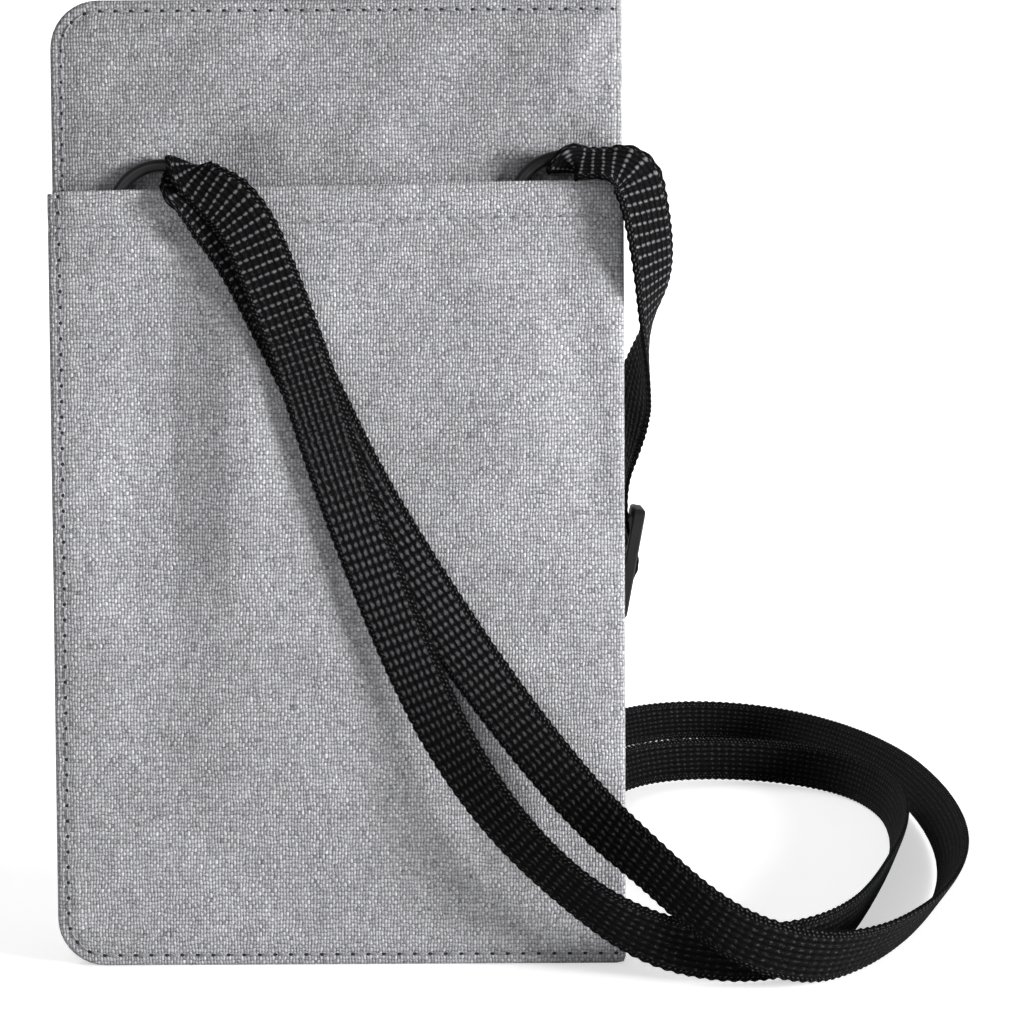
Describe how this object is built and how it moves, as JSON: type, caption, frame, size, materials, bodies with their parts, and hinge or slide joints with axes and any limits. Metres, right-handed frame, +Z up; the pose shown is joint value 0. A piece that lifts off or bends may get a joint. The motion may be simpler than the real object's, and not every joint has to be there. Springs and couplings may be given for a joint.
{
  "type": "neck pouch wallet",
  "caption": "Grey canvas zip-around neck wallet standing closed, slip pocket at the back, with a long black webbing neck strap on two rings.",
  "frame": {"origin": "middle of the closed wallet's footprint, on the surface it stands on", "axes": "+Z up along the 200 mm height, +X towards the folded spine, -Y out of the slip pocket side"},
  "size_m": [0.2126, 0.265, 0.2],
  "materials": {
    "canvas": "matte",
    "board": "matte",
    "lining": "matte",
    "webbing": "matte",
    "zip_tape": "matte",
    "zip_plastic": "satin",
    "black_plastic": "matte",
    "dark_metal": "satin"
  },
  "bodies": {
    "back_half": {"back_cover_canvas": "canvas", "back_cover_board": "board", "back_cover_lining": "lining", "spine_canvas": "canvas", "slip_pocket_panel": "canvas", "slip_pocket_hem": "canvas", "left_ring_tab": "webbing", "right_ring_tab": "webbing", "zip_tape_back": "zip_tape", "zip_teeth_back": "zip_plastic", "passport_pocket_panel": "lining", "neck_strap": "webbing"},
    "front_half": {"front_cover_canvas": "canvas", "front_cover_board": "board", "front_cover_lining": "lining", "zip_tape_front": "zip_tape", "zip_teeth_front": "zip_plastic", "card_slot_lower": "lining", "card_slot_middle": "lining", "card_slot_upper": "lining"},
    "zip_slider": {"zip_slider_body": "dark_metal"},
    "zip_pull": {"zip_pull_tab": "dark_metal"},
    "left_ring": {"left_ring": "dark_metal"},
    "right_ring": {"right_ring": "dark_metal"},
    "strap_slider": {"strap_slider": "black_plastic"}
  },
  "joints": [
    {"name": "front_cover_fold", "type": "hinge", "parent": "back_half", "child": "front_half", "pos_m": [0.059, 0.011, 0.1], "axis": [0, 0, -1], "range_deg": [0, 80]},
    {"name": "zip_slide", "type": "slide", "parent": "back_half", "child": "zip_slider", "axis": [-1, 0, 0], "range_m": [0, 0.079], "deforming": ["zip_teeth_back", "zip_teeth_front"]},
    {"name": "zip_pull_swing", "type": "hinge", "parent": "zip_slider", "child": "zip_pull", "pos_m": [0.0481, 0.0026, 0.19795], "axis": [0, 1, 0], "range_deg": [0, 150]},
    {"name": "left_ring_turn", "type": "hinge", "parent": "back_half", "child": "left_ring", "pos_m": [-0.0355, -0.00833, 0.15548], "axis": [0, 0.9981, 0.0611], "continuous": true},
    {"name": "right_ring_turn", "type": "hinge", "parent": "back_half", "child": "right_ring", "pos_m": [0.0468, -0.00833, 0.15687], "axis": [0, 0.9981, 0.0611], "continuous": true},
    {"name": "strap_slider_slide", "type": "slide", "parent": "back_half", "child": "strap_slider", "axis": [0.1805, 0, 0.9836], "range_m": [-0.006, 0.006], "deforming": ["neck_strap"]}
  ]
}
